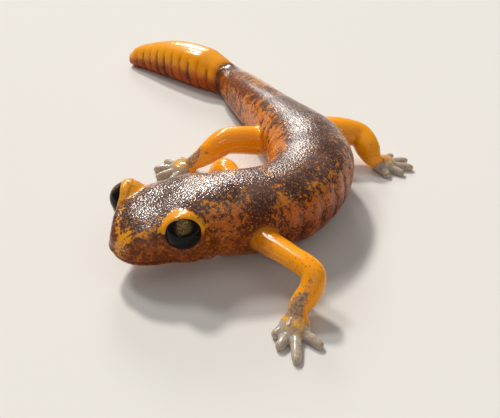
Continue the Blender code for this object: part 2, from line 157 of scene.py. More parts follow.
def smooth_through(rows):
    """Distances along a chain of stations, and a function that reads a smooth curve through them."""
    marks = [0.0]
    for here, there in zip(rows, rows[1:]):
        marks.append(marks[-1] + math.dist(here[:3], there[:3]))
    slopes = []
    for i in range(len(rows)):
        before = max(i - 1, 0)
        after = min(i + 1, len(rows) - 1)
        run = marks[after] - marks[before]
        slopes.append([(b - a) / run for a, b in zip(rows[before], rows[after])])

    def read(distance):
        i = 0
        while i < len(marks) - 2 and distance > marks[i + 1]:
            i += 1
        run = marks[i + 1] - marks[i]
        t = (distance - marks[i]) / run
        near = 2 * t**3 - 3 * t**2 + 1
        near_slope = t**3 - 2 * t**2 + t
        far_slope = t**3 - t**2
        return [near * a + (1 - near) * b + (near_slope * m + far_slope * n) * run
                for a, b, m, n in zip(rows[i], rows[i + 1], slopes[i], slopes[i + 1])]

    return marks, read


def body_side(distance):
    """The way that points to the body's left at a distance from the snout, and the way back to the tail."""
    ahead = body_at(distance + 0.2)
    behind = body_at(distance - 0.2)
    along = Vector((ahead[0] - behind[0], ahead[1] - behind[1], 0)).normalized()
    return Vector((along.y, -along.x, 0)), along


def body_ring(distance):
    """One upright outline of the body."""
    x, y, z, half_width, above, below = body_at(distance)
    side = body_side(distance)[0]
    points = []
    for k in range(BODY_SIDES):
        angle = 2 * math.pi * k / BODY_SIDES
        across = math.copysign(abs(math.cos(angle)) ** BODY_SQUARENESS, math.cos(angle)) * half_width
        rise = math.copysign(abs(math.sin(angle)) ** BODY_SQUARENESS, math.sin(angle))
        level = z + rise * (above if rise > 0 else below)
        points.append(place(x + side.x * across, y + side.y * across, max(level, 0.0)))
    return points


def loft(bm, rings):
    """Adds a closed skin drawn through rings of points that all have the same count."""
    loop = bmesh.ops.create_circle(bm, cap_ends=True, segments=len(rings[0]), radius=1.0)["verts"]
    edges = list({edge for vert in loop for edge in vert.link_edges})
    for vert, point in zip(loop, rings[0]):
        vert.co = point
    for ring in rings[1:]:
        made = set(bmesh.ops.extrude_edge_only(bm, edges=edges)["geom"])
        far = []
        for vert in loop:
            far += [e.other_vert(vert) for e in vert.link_edges if e.other_vert(vert) in made]
        for vert, point in zip(far, ring):
            vert.co = point
        edges = [e for e in made if isinstance(e, bmesh.types.BMEdge) and set(e.verts) <= set(far)]
        loop = far
    bmesh.ops.contextual_create(bm, geom=edges)


def tube(bm, rows, sides=20, spacing=0.25):
    """Adds a leg or toe, round rings along a line of stations of x, y, z and radius, and samples it."""
    marks, read = smooth_through(rows)
    count = round(marks[-1] / spacing)
    rings = []
    side = Vector()
    for i in range(count + 1):
        distance = marks[-1] * i / count
        x, y, z, radius = read(distance)
        ahead = read(min(distance + 0.1, marks[-1]))
        behind = read(max(distance - 0.1, 0.0))
        along = Vector([a - b for a, b in zip(ahead[:3], behind[:3])]).normalized()
        side = side - along * side.dot(along) if rings else along.cross(Vector((0, 0, 1)))
        side.normalize()
        up = side.cross(along)
        ring = []
        for k in range(sides):
            angle = 2 * math.pi * k / sides
            turn = side * math.cos(angle) + up * math.sin(angle)
            ring.append(place(*(Vector((x, y, z)) + radius * turn)))
        rings.append(ring)
    loft(bm, rings)
    return [read(marks[-1] * i / (4 * count)) for i in range(4 * count + 1)]


def head_way(ahead, aside, up):
    """A direction given along the head's own axis, to its left and upwards."""
    heading = math.radians(HEAD_HEADING)
    forward = Vector((math.cos(heading), math.sin(heading), 0))
    left = Vector((-forward.y, forward.x, 0))
    return forward * ahead + left * aside + Vector((0, 0, up))


def head_point(ahead, aside, up):
    """A point of the pose given along the head's own axis, to its left and above the floor."""
    return Vector(HEAD_MIDDLE + (0,)) + head_way(ahead, aside, up)


def eye_axes(side):
    """The middle of an eye, the way that it looks, and the ways across and up its opening."""
    look = head_way(EYE_LOOK[0], side * EYE_LOOK[1], EYE_LOOK[2]).normalized()
    across = look.cross(Vector((0, 0, 1))).normalized()
    return head_point(EYE_AHEAD, side * EYE_ASIDE, EYE_UP), look, across, across.cross(look)


spine_marks, body_at = smooth_through(list(SPINE.values()))
MARKS = dict(zip(SPINE, spine_marks))
bm = bmesh.new()
ring_count = round(spine_marks[-1] / 0.3)
loft(bm, [body_ring(spine_marks[-1] * i / ring_count) for i in range(ring_count + 1)])
for side in (1, -1):
    spot = Matrix.Translation(place(*eye_axes(side)[0]))
    bmesh.ops.create_uvsphere(bm, u_segments=48, v_segments=32, radius=LID_RADIUS * MM, matrix=spot)
    spot = Matrix.Translation(place(*head_point(CHEEK[0], side * CHEEK[1], CHEEK[2])))
    bmesh.ops.create_uvsphere(bm, u_segments=48, v_segments=32, radius=CHEEK_RADIUS * MM, matrix=spot)

limb_samples = []  # x, y, z, radius and how far out: 0 at the root, 1 at the wrist, 2 at a toe's tip
for leg in LEGS.values():
    chain = leg["chain"]
    bones = tube(bm, chain)
    reach = smooth_through(chain)[0]
    for i, sample in enumerate(bones):
        far = min(reach[-1] * i / (len(bones) - 1) / reach[WRIST], 1.2)
        limb_samples.append((*sample, far))
    middle = Vector(chain[-1][:3])
    size = Matrix.Diagonal((leg["palm"] * MM, leg["palm"] * MM, PALM_HEIGHT * MM, 1.0))
    palm = bmesh.ops.create_uvsphere(bm, u_segments=28, v_segments=16, radius=1.0)["verts"]
    bmesh.ops.transform(bm, matrix=Matrix.Translation(place(*middle)) @ size, verts=palm)
    for root, tip in leg["toes"]:
        root = Vector(root + (TOE_HEIGHTS[0],))
        tip = Vector(tip + (TOE_HEIGHTS[2],))
        start = middle.lerp(root, TOE_START)
        knuckle = root.lerp(tip, TOE_KNUCKLE)
        knuckle.z = TOE_HEIGHTS[1]
        rows = ((*start, TOE_RADII[0]), (*root, TOE_RADII[0]), (*knuckle, TOE_RADII[1]),
                (*tip.lerp(knuckle, 0.25), TOE_RADII[2]), (*tip, TOE_RADII[3]))
        bones = tube(bm, rows, 16, 0.2)
        for i, sample in enumerate(bones):
            limb_samples.append((*sample, 1.2 + 0.8 * i / (len(bones) - 1)))
bmesh.ops.recalc_face_normals(bm, faces=bm.faces)
mesh = bpy.data.meshes.new("skin_rough")
bm.to_mesh(mesh)
bm.free()
skin = bpy.data.objects.new("skin", mesh)
bpy.context.scene.collection.objects.link(skin)


def apply_modifiers(obj):
    """Replaces an object's mesh by what its modifiers make of it."""
    graph = bpy.context.evaluated_depsgraph_get()
    done = bpy.data.meshes.new_from_object(obj.evaluated_get(graph))
    obj.modifiers.clear()
    obj.data = done


fuse = skin.modifiers.new("fuse", "REMESH")
fuse.mode = "VOXEL"
fuse.voxel_size = VOXEL * MM
apply_modifiers(skin)


def read_points(mesh):
    """The mesh's points in mm of the pose."""
    flat = np.empty(len(mesh.vertices) * 3)
    mesh.vertices.foreach_get("co", flat)
    return flat.reshape(-1, 3) / MM - np.array((*SHIFT, 0.0))


def write_points(mesh, points):
    """Puts the points back."""
    mesh.vertices.foreach_set("co", ((points + np.array((*SHIFT, 0.0))) * MM).ravel())
    mesh.update()


def read_normals(mesh):
    """The ways that the skin faces at its points."""
    flat = np.empty(len(mesh.vertices) * 3)
    mesh.vertex_normals.foreach_get("vector", flat)
    return flat.reshape(-1, 3)


def relax(mesh, points, weight, rounds):
    """Draws each point towards the middle of its neighbours."""
    pairs = np.empty(len(mesh.edges) * 2, dtype=np.int64)
    mesh.edges.foreach_get("vertices", pairs)
    one, two = pairs.reshape(-1, 2).T
    count = np.bincount(one, minlength=len(points)) + np.bincount(two, minlength=len(points))
    for _ in range(rounds):
        total = np.empty_like(points)
        for axis in range(3):
            total[:, axis] = (np.bincount(one, points[two, axis], len(points))
                              + np.bincount(two, points[one, axis], len(points)))
        points = points + (total / count[:, None] - points) * (0.5 * weight)[:, None]
    return points


def fade(values, low, high):
    """0 at low, 1 at high and smooth between."""
    t = np.clip((values - low) / (high - low), 0, 1)
    return t * t * (3 - 2 * t)


SAMPLE_STEP = 0.1
stations = []
for i in range(round(spine_marks[-1] / SAMPLE_STEP) + 1):
    left, along = body_side(i * SAMPLE_STEP)
    stations.append((*body_at(i * SAMPLE_STEP), *left[:2], *along[:2]))
stations = np.array(stations)
limb_samples = np.array(limb_samples)


def nearest(rows, points):
    """For each point, the row nearest to it."""
    tree = KDTree(len(rows))
    for i, row in enumerate(rows):
        tree.insert(row, i)
    tree.balance()
    return np.array([tree.find(point)[1] for point in points])


def survey(points):
    """Where each point is on the body: how far back, how high round the side, and how much it is limb."""
    flat_points = points * (1, 1, 0)
    found = nearest(stations[:, :3] * (1, 1, 0), flat_points)
    row = stations[found]
    off = points - row[:, :3]
    back = found * SAMPLE_STEP + (off[:, :2] * row[:, 8:10]).sum(1)
    across = (off[:, :2] * row[:, 6:8]).sum(1) / row[:, 3]
    height = off[:, 2] / np.where(off[:, 2] > 0, row[:, 4], row[:, 5])
    size = np.maximum(np.hypot(across, height), 1e-6)
    from_body = (size - 1) * np.minimum(row[:, 3], row[:, 4])
    found = nearest(limb_samples[:, :3], points)
    row = limb_samples[found]
    from_limb = np.linalg.norm(points - row[:, :3], axis=1) - row[:, 3]
    return {"back": back, "across": across / size, "rise": height / size, "reach": row[:, 4],
            "from_body": from_body, "from_limb": from_limb,
            "limb": fade(from_body - from_limb, -0.5, 0.5)}


# Smoothing, most where parts meet: at the limbs' roots, round the lids, at the snout and the wrists
SMOOTHING = 4
JOINT_SMOOTHING = 40
WRIST_SMOOTHING = 25
points = read_points(skin.data)
place_of = survey(points)
from_eyes = [np.linalg.norm(points - np.array(eye_axes(side)[0]), axis=1) for side in (1, -1)]
from_lid = np.min(from_eyes, axis=0)
from_lid = np.abs(from_lid - LID_RADIUS)
joint = 1 - fade(np.abs(place_of["from_body"]) + np.abs(place_of["from_limb"]), 0.6, 2.0)
joint *= place_of["reach"] < 0.9
joint = np.maximum(joint, 1 - fade(from_lid + np.abs(place_of["from_body"]), 0.3, 1.6))
under = (1 - fade(points[:, 2], EYE_UP - 1.6, EYE_UP - 0.4)) * (place_of["back"] < MARKS["jaw_corners"])
points = relax(skin.data, points, np.ones(len(points)), SMOOTHING)
points = relax(skin.data, points, joint, JOINT_SMOOTHING)
points = relax(skin.data, points, under * (1 - place_of["limb"]), JOINT_SMOOTHING)
snout_cap = 1 - fade(place_of["back"], 0.2, 1.6)
points = relax(skin.data, points, snout_cap, JOINT_SMOOTHING)
wrist = fade(place_of["reach"], 0.75, 0.95) * (1 - fade(place_of["reach"], 1.2, 1.45)) * place_of["limb"]
points = relax(skin.data, points, wrist, WRIST_SMOOTHING)
write_points(skin.data, points)


def line_distance(points, line):
    """How far each point is from a line of straight runs."""
    best = np.full(len(points), np.inf)
    for start, end in zip(line, line[1:]):
        start = np.array(start)
        run = np.array(end) - start
        t = np.clip((points - start) @ run / (run @ run), 0, 1)
        best = np.minimum(best, np.linalg.norm(points - start - t[:, None] * run, axis=1))
    return best


def along_head(points, spots, width):
    """1 along a line through spots of the head and soft round it."""
    line = [head_point(*spot) for spot in spots]
    return np.exp(-(line_distance(points, line) / width) ** 2)


def lip_height(ahead):
    """How high the line of the mouth runs."""
    places, heights = zip(*MOUTH_LINE[::-1])
    return np.interp(ahead, places, heights)


def grooves(back, first, last):
    """Waves that are 1 in each groove, and how far inside the grooved run each point is, up to 1."""
    inside = np.minimum(back - MARKS[first], MARKS[last] - back) / GROOVE_PITCH
    return 0.5 + 0.5 * np.cos(2 * np.pi * back / GROOVE_PITCH), np.clip(inside, 0, 1)


# Shaping in the skin's own thickness: positive rises, negative sinks, in mm. Each form of the head
# follows a line of points ahead, aside and up, with a height and a half width.
HEAD_FORMS = (
    (((2.4, 4.0, 8.8), (3.4, 3.0, 8.3), (4.8, 1.9, 7.5)), 0.32, 0.7),  # ridge from the eye to the snout
    (((3.0, 4.9, 6.5), (4.8, 2.9, 6.0)), -0.25, 0.9),  # hollow before the eye
    (((5.0, 1.3, 6.0), (5.0, 1.4, 6.2)), 0.3, 0.8),  # swelling round the nostril
    (((4.7, 1.4375, 6.75), (4.7, 1.4375, 6.63)), -0.5, 0.22),  # nostril
    (((-3.0, 5.0, 8.2), (-4.6, 5.2, 7.6)), 0.3, 1.4),  # temple
    (((1.5, 6.2, 5.2), (-1.5, 6.6, 5.0)), 0.2, 0.9),  # cheek under the eye
)
BROW = ((1.6, 0.0, 9.6), (-1.2, 0.0, 10.2))
BROW_DEPTH = 0.22
BROW_WIDTH = 1.4
MOUTH_DEPTH = 0.36
MOUTH_WIDTH = 0.13
MOUTH_END = (-2.8, -2.2)
LIP_HEIGHT = 0.16
UPPER_LIP = (0.42, 0.26)  # height over the mouth line and half width
LOWER_LIP = (-0.4, 0.25)
GROOVED = (("shoulders", "hips", 0.22, 0.75), ("tail_ring", "tail_end", 0.26, 0.85))  # depth, upper end
FOLD_DEPTH = 0.42
FOLD_WIDTH = 0.28
FOLD_EDGE = 0.2
place_of = survey(points)
normals = read_normals(skin.data)
heading = np.array(head_way(1, 0, 0))
ahead = (points - np.array((*HEAD_MIDDLE, 0.0))) @ heading
on_head = 1 - fade(place_of["back"], MARKS["jaw_corners"] - 1.0, MARKS["gular_fold"])
on_head *= 1 - place_of["limb"]
rise = np.zeros(len(points))
for side in (1, -1):
    for spots, form_height, width in HEAD_FORMS:
        mirrored = [(forward, side * sideways, high) for forward, sideways, high in spots]
        rise += form_height * along_head(points, mirrored, width)
rise -= BROW_DEPTH * along_head(points, BROW, BROW_WIDTH)
from_mouth = points[:, 2] - lip_height(ahead)
in_mouth = on_head * fade(ahead, *MOUTH_END)
mouth = in_mouth * np.exp(-(from_mouth / MOUTH_WIDTH) ** 2)
rise -= MOUTH_DEPTH * mouth
upper_lip = np.exp(-((from_mouth - UPPER_LIP[0]) / UPPER_LIP[1]) ** 2)
lower_lip = np.exp(-((from_mouth - LOWER_LIP[0]) / LOWER_LIP[1]) ** 2)
rise += LIP_HEIGHT * in_mouth * (upper_lip + lower_lip)

dip = np.zeros(len(points))
for first, last, depth, top in GROOVED:
    wave, inside = grooves(place_of["back"], first, last)
    low_enough = 1 - fade(place_of["rise"], 0.3, top)
    dip += depth * (0.75 * wave**6 + 0.25 * wave) * inside * low_enough
rise -= dip * (1 - place_of["limb"])
fold_at = MARKS["gular_fold"] + 0.8 * (1 - np.clip(place_of["rise"] + 1, 0, 1))
fold = np.exp(-((place_of["back"] - fold_at) / FOLD_WIDTH) ** 2) * (1 - fade(place_of["rise"], 0.1, 0.6))
fold *= (1 - place_of["limb"]) * (0.3 + 0.7 * fade(place_of["rise"], -0.9, -0.5))
rise -= FOLD_DEPTH * fold
swell = np.exp(-((place_of["back"] - fold_at + 1.0) / 0.6) ** 2)
swell *= 1 - fade(place_of["rise"], -0.1, 0.5)
rise += FOLD_EDGE * swell * (1 - place_of["limb"])
points = points + normals * rise[:, None]

# The lids open round each eye: the skin sinks behind the eyeball and ends in a soft rim
RIM_AT = 1.26
RIM_WIDTH = 0.16
RIM_HEIGHT = 0.13
BEHIND_EYE = 0.35
for side in (1, -1):
    centre, look, across, over = [np.array(way) for way in eye_axes(side)]
    off = points - centre
    radius = np.linalg.norm(off, axis=1)
    out = off @ look
    high = off @ over + OPENING_DROP
    oval = np.hypot(off @ across / EYE_OPENING[0], high / EYE_OPENING[1])
    near = (out > 0.2) & (radius < LID_RADIUS + 1.4)
    upper = 0.15 + 0.85 * fade(high / EYE_OPENING[1], -0.5, 0.4)
    rim = RIM_HEIGHT * np.exp(-((oval - RIM_AT) / RIM_WIDTH) ** 2) * upper
    lid = np.minimum(radius, LID_RADIUS + 0.15) + rim
    lid = np.where(oval < 1.5, lid, radius + rim)
    inner = EYE_RADIUS - BEHIND_EYE
    wanted = inner + (lid - inner) * fade(oval, 0.97, 1.13)
    scale = np.where(near & (oval < 1.7), wanted / radius, 1.0)
    points = centre + off * scale[:, None]

# The skin is held inside the box of the solids
low = np.array(cad_low) / MM - (*SHIFT, 0.0)
high = np.array(cad_high) / MM - (*SHIFT, 0.0)
points = np.clip(points, low, high)
write_points(skin.data, points)

thin = skin.modifiers.new("thin", "DECIMATE")
thin.ratio = min(1.0, SKIN_FACES / (2 * len(skin.data.polygons)))
apply_modifiers(skin)
skin.data.shade_smooth()

# What the colours need to know of each point of the skin, stored as values at its points
RIDGES = {  # lines ahead, aside and up, from the lid to the snout, on the left and on the right
    1: ((2.4, 4.2, 8.9), (3.06, 3.24, 8.46), (3.79, 2.83, 8.13), (4.61, 2.21, 7.71), (5.18, 1.72, 7.29)),
    -1: ((2.3, -3.6, 9.1), (3.02, -2.5, 8.63), (4.33, -1.5, 7.89), (5.1, -0.6, 7.1)),
}
SNOUT_TIP = ((5.0, 0.9, 7.3), (5.2, 0.3, 6.4), (5.2, 0.0, 5.4))
UPPER_SIDE = (-0.45, -0.55, 0.7)
# Where a painted shadow crosses the upper body, in mm back from the snout
SHADOW_BAND_AT = 18.4
points = read_points(skin.data)
facing = read_normals(skin.data)
place_of = survey(points)
ahead = (points - np.array((*HEAD_MIDDLE, 0.0))) @ heading
back = place_of["back"]
not_limb = 1 - place_of["limb"]
marks = {"back": back / 100, "rise": 0.5 + 0.5 * place_of["rise"], "across": 0.5 + 0.5 * place_of["across"]}
marks["limb"] = place_of["limb"]
marks["reach"] = place_of["reach"] / 2 * place_of["limb"]
marks["upper"] = 0.5 + 0.5 * facing @ np.array(Vector(UPPER_SIDE).normalized())
orange = np.zeros(len(points))
for side in (1, -1):
    centre, *_, over = [np.array(way) for way in eye_axes(side)]
    off = points - centre
    radius = np.linalg.norm(off, axis=1)
    cap = (1 - fade(radius, LID_RADIUS + 0.1, LID_RADIUS + 0.5)) * fade(off @ over, -0.3, 0.5)
    orange = np.maximum(orange, cap)
    ridge = [head_point(*spot) for spot in RIDGES[side]]
    orange = np.maximum(orange, 0.62 * (1 - fade(line_distance(points, ridge), 0.1, 0.75)))
snout_tip = [head_point(*spot) for spot in SNOUT_TIP]
orange = np.maximum(orange, 0.85 * (1 - fade(line_distance(points, snout_tip), 0.3, 1.7)))
marks["orange"] = orange * not_limb
dip = np.zeros(len(points))
for first, last, *_ in GROOVED:
    wave, inside = grooves(back, first, last)
    dip += wave**4 * inside
marks["groove"] = dip * (1 - fade(place_of["rise"], 0.3, 0.8)) * not_limb
marks["neck"] = fade(back, 7.5, 11.5) * (1 - fade(back, 19.0, 25.0))
# A narrow painted shadow across the upper half of the body, just before the shoulders
marks["shadow_band"] = np.exp(-((back - SHADOW_BAND_AT) / 0.9) ** 2) * fade(place_of["rise"], -0.1, 0.1) * not_limb
marks["ring"] = np.exp(-((back - MARKS["tail_ring"] + 0.9) / 2.1) ** 2)
marks["tail"] = fade(back, MARKS["tail_ring"] - 0.8, MARKS["tail_swell"])
marks["tail_base"] = fade(back, MARKS["vent"] - 7.0, MARKS["tail_root"] + 2.0)
marks["head"] = (1 - fade(back, MARKS["jaw_corners"], MARKS["neck"])) * not_limb
marks["face"] = marks["head"] * fade(ahead, -2.5, 2.5) * (1 - fade(points[:, 2], 6.8, 8.2))
from_mouth = points[:, 2] - lip_height(ahead)
marks["mouth"] = marks["head"] * fade(ahead, *MOUTH_END) * np.exp(-(from_mouth / 0.14) ** 2)
marks["cheek"] = not_limb * fade(ahead, -8.5, -5.5) * (1 - fade(ahead, -0.5, 1.5))
marks["cheek"] *= 1 - fade(points[:, 2], 6.3, 8.0)
marks["root"] = (1 - fade(place_of["reach"], 0.25, 0.55)) * (back < MARKS["waist"])
for name, values in marks.items():
    mark = skin.data.attributes.new(name, "FLOAT", "POINT")
    mark.data.foreach_set("value", values.astype(np.float32))


def add_node(tree, kind, inputs, **settings):
    """A shader node with its settings, and its inputs set or linked."""
    node = tree.nodes.new(kind)
    for name, value in settings.items():
        setattr(node, name, value)
    for name, value in inputs.items():
        if isinstance(value, bpy.types.NodeSocket):
            tree.links.new(value, node.inputs[name])
        else:
            node.inputs[name].default_value = value
    return node


def mark_of(tree, name):
    """A value stored at the mesh's points."""
    return add_node(tree, "ShaderNodeAttribute", {}, attribute_name=name).outputs["Fac"]


def noise(tree, scale, detail=3.0, rough=0.6, distort=0.0):
    """Cloudy noise in the object's own space. The scale counts per metre."""
    spot = add_node(tree, "ShaderNodeTexCoord", {}).outputs["Object"]
    inputs = {"Vector": spot, "Scale": scale, "Detail": detail, "Roughness": rough, "Distortion": distort}
    return add_node(tree, "ShaderNodeTexNoise", inputs).outputs["Fac"]


def step(tree, value, low, high):
    """0 at low, 1 at high and smooth between."""
    inputs = {"Value": value, "From Min": low, "From Max": high}
    return add_node(tree, "ShaderNodeMapRange", inputs, interpolation_type="SMOOTHSTEP").outputs["Result"]


def reckon(tree, operation, one, two):
    """One sum of two values."""
    node = add_node(tree, "ShaderNodeMath", {0: one, 1: two}, operation=operation)
    return node.outputs["Value"]


def times(tree, one, two):
    """One value times another."""
    return reckon(tree, "MULTIPLY", one, two)


def plus(tree, one, two):
    """One value and another added up."""
    return reckon(tree, "ADD", one, two)


def minus(tree, one, two):
    """One value less another."""
    return reckon(tree, "SUBTRACT", one, two)


def most(tree, one, two):
    """The greater of two values."""
    return reckon(tree, "MAXIMUM", one, two)


def between(tree, value, low, high):
    """From low at 0 to high at 1 in a straight line."""
    inputs = {"Value": value, "To Min": low, "To Max": high}
    return add_node(tree, "ShaderNodeMapRange", inputs).outputs["Result"]


def blend(tree, amount, one, two):
    """From the first colour to the second."""
    inputs = {0: amount, 6: one, 7: two}
    return add_node(tree, "ShaderNodeMix", inputs, data_type="RGBA").outputs[2]


def new_material(name):
    """A material with its node tree and its main shader."""
    made = bpy.data.materials.new(name)
    made.use_nodes = True
    return made, made.node_tree, made.node_tree.nodes["Principled BSDF"]


PURPLE = (0.062, 0.026, 0.022, 1)
FLECK = (0.70, 0.24, 0.015, 1)
FLANK = (0.50, 0.108, 0.002, 1)
INNER = (0.70, 0.20, 0.008, 1)
BROWN = (0.085, 0.015, 0.001, 1)
BELLY = (0.55, 0.31, 0.24, 1)
LIMB = (1.0, 0.37, 0.001, 1)
LID = (0.84, 0.33, 0.008, 1)
SPECK = (0.13, 0.04, 0.010, 1)
TAIL = (1.0, 0.38, 0.002, 1)
TAIL_SIDE = (0.46, 0.078, 0.003, 1)
GREY = (0.42, 0.27, 0.16, 1)
DARK_GREY = (0.22, 0.13, 0.08, 1)
TOE = (0.46, 0.41, 0.34, 1)
TOE_PALE_AND_EDGE_LIGHT = (0.66, 0.55, 0.42, 1)
YELLOW = (0.78, 0.40, 0.02, 1)
LORE_BROWN_AND_SHADE = (0.15, 0.032, 0.006, 1)
CHEEK_ORANGE = (0.44, 0.105, 0.006, 1)
LOW_FLANK_SHADE = (0.29, 0.044, 0.001, 1)
CHEEK_SPOT = (0.36, 0.078, 0.004, 1)
MAUVE = (0.12, 0.062, 0.055, 1)
BASE_BROWN = (0.14, 0.032, 0.008, 1)
BASE_INNER = (0.16, 0.026, 0.003, 1)
CHEEK_BROWN = (0.17, 0.036, 0.004, 1)
TAIL_MURK = (0.14, 0.022, 0.003, 1)
RING_BROWN = (0.075, 0.012, 0.002, 1)
MOUTH_BROWN = (0.045, 0.014, 0.008, 1)
LEG_ROOT = (0.33, 0.07, 0.004, 1)
STREAK_SCALE = (240.0, 5.0, 5.0)
GRAIN_DEPTH = 0.000065

made, tree, shader = new_material("moist_skin")
rise_mark = mark_of(tree, "rise")
limb_mark = mark_of(tree, "limb")
reach_mark = mark_of(tree, "reach")
across_mark = mark_of(tree, "across")
groove_mark = mark_of(tree, "groove")
base_mark = mark_of(tree, "tail_base")
fine = noise(tree, 3000.0, 4.0, 0.65)
middling = noise(tree, 1250.0, 6.0, 0.74, 0.1)
broad = noise(tree, 300.0, 2.0, 0.5)
along = add_node(tree, "ShaderNodeCombineXYZ", {
    "X": mark_of(tree, "back"), "Y": rise_mark, "Z": across_mark})
stretch = add_node(tree, "ShaderNodeVectorMath", {
    0: along.outputs["Vector"], 1: STREAK_SCALE}, operation="MULTIPLY")
streaks = add_node(tree, "ShaderNodeTexNoise", {
    "Vector": stretch.outputs["Vector"], "Scale": 1.0, "Detail": 3.0, "Roughness": 0.6}).outputs["Fac"]
inner = step(tree, across_mark, 0.42, 0.15)
outer = step(tree, across_mark, 0.4, 0.75)

# How much of the skin is orange: little on the back, more on the neck and down the flanks
amount = times(tree, step(tree, rise_mark, 1.0, 0.72), 0.5)
nape = times(tree, mark_of(tree, "neck"), step(tree, rise_mark, 0.5, 0.75))
amount = plus(tree, amount, times(tree, nape, 0.17))
amount = minus(tree, amount, times(tree, mark_of(tree, "head"), 0.17))
low_side = times(tree, step(tree, rise_mark, 0.92, 0.76), outer)
low_side = times(tree, low_side, minus(tree, 1.0, times(tree, mark_of(tree, "neck"), 2.0)))
amount = plus(tree, amount, times(tree, low_side, 0.12))
amount = plus(tree, amount, times(tree, inner, 0.3))
amount = plus(tree, amount, times(tree, times(tree, base_mark, outer), 0.4))
amount = minus(tree, amount, times(tree, times(tree, base_mark, inner), 0.75))
amount = plus(tree, amount, times(tree, base_mark, 0.3))
# Less orange under the painted shadow before the shoulders
amount = minus(tree, amount, times(tree, mark_of(tree, "shadow_band"), 0.4))
amount = plus(tree, amount, times(tree, mark_of(tree, "cheek"), 0.05))
# Less orange in the grooves: painted shade in the creases
amount = minus(tree, amount, times(tree, groove_mark, 0.22))
cloud = plus(tree, middling, times(tree, broad, 0.3))
cloud = plus(tree, cloud, times(tree, fine, 0.3))
cover = plus(tree, times(tree, amount, 0.17), times(tree, cloud, 0.625))
spots = step(tree, cover, 0.568, 0.598)

# The light spots and the dark ground between them, with streaks and fine motes over both
sides = step(tree, rise_mark, 0.92, 0.7)
light = blend(tree, sides, FLECK, FLANK)
# The lower flank turns darker red-brown towards the belly: painted shade.
light = blend(tree, step(tree, rise_mark, 0.74, 0.38), light, LOW_FLANK_SHADE)
light = blend(tree, inner, light, INNER)
light = blend(tree, mark_of(tree, "cheek"), light, CHEEK_SPOT)
dark = blend(tree, step(tree, broad, 0.4, 0.65), PURPLE, MAUVE)
dark = blend(tree, sides, dark, BROWN)
dark = blend(tree, times(tree, base_mark, 0.85), dark, BASE_BROWN)
dark = blend(tree, times(tree, base_mark, inner), dark, BASE_INNER)
dark = blend(tree, mark_of(tree, "cheek"), dark, CHEEK_BROWN)
colour = blend(tree, spots, dark, light)
streaky = times(tree, step(tree, streaks, 0.5, 0.62), inner)
streaky = times(tree, streaky, minus(tree, 1.0, base_mark))
colour = blend(tree, times(tree, streaky, 0.45), colour, BROWN)
colour = blend(tree, times(tree, step(tree, fine, 0.54, 0.66), 0.45), colour, dark)
motes = step(tree, noise(tree, 3800.0, 2.0, 0.5), 0.57, 0.65)
colour = blend(tree, times(tree, motes, 0.5), colour, FLECK)
colour = blend(tree, step(tree, rise_mark, 0.2, 0.06), colour, BELLY)

# The tail: orange above and darker on its sides, with bars, and a dark ring where it narrows
height = plus(tree, rise_mark, times(tree, minus(tree, cloud, 0.6), 0.35))
tail_colour = blend(tree, step(tree, height, 0.80, 0.42), TAIL, TAIL_SIDE)
murk = times(tree, step(tree, height, 0.72, 0.45), step(tree, plus(tree, middling, broad), 0.92, 1.15))
tail_colour = blend(tree, times(tree, murk, 0.8), tail_colour, TAIL_MURK)
bars = times(tree, groove_mark, step(tree, plus(tree, middling, broad), 0.85, 1.08))
tail_colour = blend(tree, times(tree, bars, 0.75), tail_colour, BROWN)
colour = blend(tree, mark_of(tree, "tail"), colour, tail_colour)
ring = plus(tree, mark_of(tree, "ring"), times(tree, minus(tree, cloud, 0.7), 1.5))
ring = times(tree, step(tree, ring, 0.3, 0.9), step(tree, across_mark, 1.0, 0.8))
colour = blend(tree, times(tree, ring, 0.95), colour, RING_BROWN)

# The face, its lower sides brown and darkened with painted shade, the orange of lids, ridges and snout, and
# the line of the mouth
# The lower face: the lore's own brown, darkened further as painted shade, with orange patches
face_colour_and_shade = blend(tree, step(tree, cloud, 0.72, 0.96), LORE_BROWN_AND_SHADE, CHEEK_ORANGE)
colour = blend(tree, times(tree, mark_of(tree, "face"), 0.9), colour, face_colour_and_shade)
lid_colour = blend(tree, times(tree, step(tree, fine, 0.58, 0.7), 0.3), LID, SPECK)
worn = times(tree, mark_of(tree, "orange"), 0.5)
worn = plus(tree, worn, minus(tree, plus(tree, cloud, fine), 1.0))
colour = blend(tree, step(tree, worn, 0.44, 0.70), colour, lid_colour)
colour = blend(tree, mark_of(tree, "mouth"), colour, MOUTH_BROWN)

# The legs: orange, specked at the elbow, with granular grey on the upper side of shanks and feet, and grey
# toes with painted light along their sides
elbow = times(tree, step(tree, reach_mark, 0.22, 0.30), step(tree, reach_mark, 0.42, 0.34))
elbow = times(tree, elbow, step(tree, mark_of(tree, "back"), 0.32, 0.27))
specks = times(tree, step(tree, fine, 0.59, 0.63), elbow)
limb_colour = blend(tree, times(tree, specks, 0.65), LIMB, SPECK)
root = plus(tree, mark_of(tree, "root"), times(tree, minus(tree, middling, 0.5), 1.5))
limb_colour = blend(tree, times(tree, step(tree, root, 0.45, 1.1), 0.6), limb_colour, LEG_ROOT)
grain_grey = blend(tree, step(tree, fine, 0.45, 0.6), GREY, DARK_GREY)
ankle = times(tree, mark_of(tree, "upper"), 0.25)
ankle = plus(tree, ankle, times(tree, reach_mark, 0.5))
ankle = plus(tree, ankle, times(tree, cloud, 0.3))
limb_colour = blend(tree, step(tree, ankle, 0.69, 0.73), limb_colour, grain_grey)
